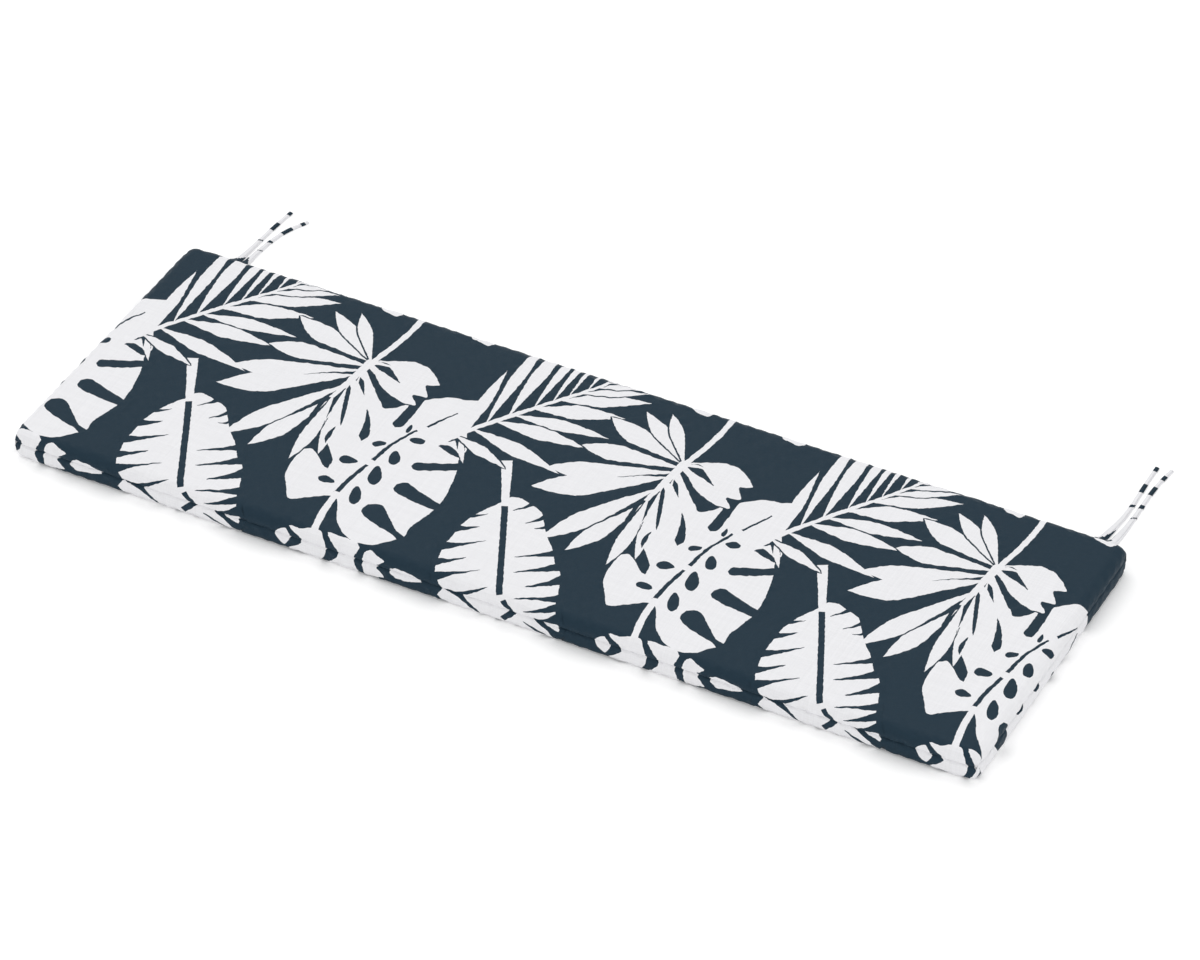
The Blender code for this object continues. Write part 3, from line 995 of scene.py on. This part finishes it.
# Navy bands: share of the tie's length at the band's start and end, and how much further along each
# comes on the left edge than in the middle of the tape.
TIE_BANDS = {
    "tie_left_a": (
        (-0.1, 0.3, 0.0, -0.03), (0.564, 0.578, -0.008, -0.008),
        (0.727, 0.831, 0.0, 0.0), (0.955, 1.1, 0.0, 0.0),
    ),
    "tie_left_b": (
        (-0.1, 0.305, 0.0, 0.055), (0.457, 0.467, -0.008, -0.008), (0.584, 0.617, -0.01, 0.0),
        (0.74, 0.844, 0.0, 0.0), (0.928, 0.968, 0.0, 0.0),
    ),
    "tie_right_a": (
        (-0.1, 0.25, 0.0, -0.09), (0.575, 0.601, -0.008, -0.006),
        (0.732, 0.817, 0.0, 0.0), (0.954, 1.1, 0.0, 0.0),
    ),
    "tie_right_b": (
        (-0.1, 0.1, 0.0, 0.19), (0.47, 0.482, -0.01, -0.01), (0.575, 0.614, -0.006, 0.0),
        (0.719, 0.804, 0.0, 0.0), (0.882, 0.928, 0.0, 0.0),
    ),
}
# Round the tape: across as a share of the half width, and up as a share of the half thickness. The
# fold closes in a narrow groove near the right edge of the upper face.
TIE_SECTION = (
    (-1.0, -0.3), (-0.9, -0.9), (0.0, -1.0), (0.9, -0.9), (1.0, -0.3), (1.0, 0.3), (0.88, 0.9), (0.4, 1.0),
    (-0.1, 1.0), (-0.42, 0.92), (-0.52, -0.1), (-0.64, 0.85), (-0.88, 0.8), (-1.0, 0.3),
)


def smooth_route(route, count):
    """Points on one smooth curve through a route's own points."""
    points = np.array(route)
    travel = travel_along(points)
    slopes = np.gradient(points, travel, axis=0)
    at = np.linspace(0.0, travel[-1], count)
    leg = np.clip(np.searchsorted(travel, at, side="right") - 1, 0, len(points) - 2)
    span = (travel[leg + 1] - travel[leg])[:, None]
    t = (at[:, None] - travel[leg][:, None]) / span
    return smooth_leg(t, points[leg], points[leg + 1], slopes[leg] * span, slopes[leg + 1] * span)


def tie_line(route):
    """A tie's middle line: out of the seam, down in one soft bend, then over the ground."""
    plan = smooth_route(route, TIE_STATIONS)
    drop = np.clip(plan[:, 1] / TIE_DROP_RUN, 0.0, 1.0)
    resting = TIE_THICKNESS / 2
    height = resting + (SEAM_HEIGHT - resting) * (1 - drop**2 * (3 - 2 * drop))
    behind = DEPTH / 2 - TIE_SEAT + plan[:, 1]
    return np.column_stack([plan[:, 0], behind, height])


def make_tie(name, route, bands):
    """One folded tape along its line, with navy bands printed across it."""
    line = tie_line(route)
    heading = np.gradient(line, axis=0)
    heading[0] = (0.0, 1.0, 0.0)
    heading /= np.linalg.norm(heading, axis=1)[:, None]
    left = np.column_stack([-heading[:, 1], heading[:, 0], np.zeros(len(line))])
    left /= np.linalg.norm(left, axis=1)[:, None]
    up = np.cross(heading, left)
    travel = travel_along(line)
    share = travel / travel[-1]
    half_width = np.interp(share, *zip(*TIE_WIDTHS)) / 2
    places = []
    for place, half, side, rise in zip(line, half_width, left, up):
        for across, high in TIE_SECTION:
            places.append(place + side * half * across + rise * TIE_THICKNESS / 2 * high)
    around = len(TIE_SECTION)
    faces, navy, cloth = [], [], []
    for i in range(TIE_STATIONS - 1):
        for j in range(around):
            k = (j + 1) % around
            faces.append((i * around + j, i * around + k, (i + 1) * around + k, (i + 1) * around + j))
            across = (TIE_SECTION[j][0] + TIE_SECTION[k][0]) / 2
            middle = (share[i] + share[i + 1]) / 2
            navy.append(any(
                start + start_slant * across < middle < end + end_slant * across
                for start, end, start_slant, end_slant in bands
            ))
            near_side, far_side = j * TIE_SIDE_CLOTH, (j + 1) * TIE_SIDE_CLOTH
            cloth += [(travel[i], near_side), (travel[i], far_side)]
            cloth += [(travel[i + 1], far_side), (travel[i + 1], near_side)]
    for ring, order in ((0, range(around)), (TIE_STATIONS - 1, range(around - 1, -1, -1))):
        faces.append([ring * around + j for j in order])
        navy.append(navy[0] if ring == 0 else navy[-around])
        cloth += [(places[ring * around + j][0], places[ring * around + j][2]) for j in order]
    points = [tuple(place) for place in places]
    mesh = printed_mesh(name, points, faces, cloth, np.logical_not(navy))
    mesh.set_sharp_from_angle(angle=math.radians(TIE_SHARP_DEG))
    tie = bpy.data.objects.new(name + "_tape", mesh)
    scene_objects.link(tie)
    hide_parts(name)
    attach(tie, "root")


for tie_name, tie_route in TIE_ROUTES.items():
    make_tie(tie_name, tie_route, TIE_BANDS[tie_name])


# ---- Studio ----
# A seamless pale floor under one wide soft light from behind and a weaker fill all round, the way
# a small product is lit for a catalogue page.
CAMERA_AZIMUTH = math.radians(27.5524)
CAMERA_ELEVATION = math.radians(39.0898)
CAMERA_DISTANCE = 6.8436
CAMERA_LENS = 183.67
CAMERA_RIGHT = 0.0398
CAMERA_UP = 0.0365

towards = Vector((
    math.sin(CAMERA_AZIMUTH) * math.cos(CAMERA_ELEVATION),
    -math.cos(CAMERA_AZIMUTH) * math.cos(CAMERA_ELEVATION),
    math.sin(CAMERA_ELEVATION),
))
right = Vector((math.cos(CAMERA_AZIMUTH), math.sin(CAMERA_AZIMUTH), 0.0))
camera = bpy.data.objects.new("camera", bpy.data.cameras.new("camera"))
scene_objects.link(camera)
camera.location = towards * CAMERA_DISTANCE + right * CAMERA_RIGHT + towards.cross(right) * CAMERA_UP
camera.rotation_euler = (math.pi / 2 - CAMERA_ELEVATION, 0.0, CAMERA_AZIMUTH)
camera.data.lens = CAMERA_LENS
camera.data.clip_end = 60.0
bpy.context.scene.camera = camera

FLOOR_HALF = 8.0
FLOOR_LEVEL = -0.0002
floor_signs = ((-1, -1), (1, -1), (1, 1), (-1, 1))
floor_corners = [(x * FLOOR_HALF, y * FLOOR_HALF, FLOOR_LEVEL) for x, y in floor_signs]
floor_mesh = bpy.data.meshes.new("floor")
floor_mesh.from_pydata(floor_corners, [], [(0, 1, 2, 3)])
floor = bpy.data.objects.new("floor", floor_mesh)
scene_objects.link(floor)
paper = bpy.data.materials.new("pale_floor")
paper.use_nodes = True
set_inputs(paper.node_tree.nodes["Principled BSDF"], {
    "Base Color": (0.96, 0.96, 0.96, 1.0),
    "Roughness": 0.9,
    "Specular IOR Level": 0.2,
    "Emission Color": (1.0, 1.0, 1.0, 1.0),
    "Emission Strength": 0.1,
})
floor.data.materials.append(paper)

world = bpy.data.worlds.new("studio")
world.use_nodes = True
set_inputs(world.node_tree.nodes["Background"], {"Color": (1.0, 1.0, 1.0, 1.0), "Strength": 0.97})
bpy.context.scene.world = world

KEY_FROM = (-0.5, 0.6, 1.5)
KEY_POWER = 0.48
KEY_WIDTH_DEG = 42.0
key = bpy.data.objects.new("key", bpy.data.lights.new("key", "SUN"))
key.data.energy = KEY_POWER
key.data.angle = math.radians(KEY_WIDTH_DEG)
key.location = KEY_FROM
key.rotation_euler = Vector(KEY_FROM).to_track_quat("Z", "Y").to_euler()
scene_objects.link(key)
bpy.context.scene.view_settings.view_transform = "Standard"
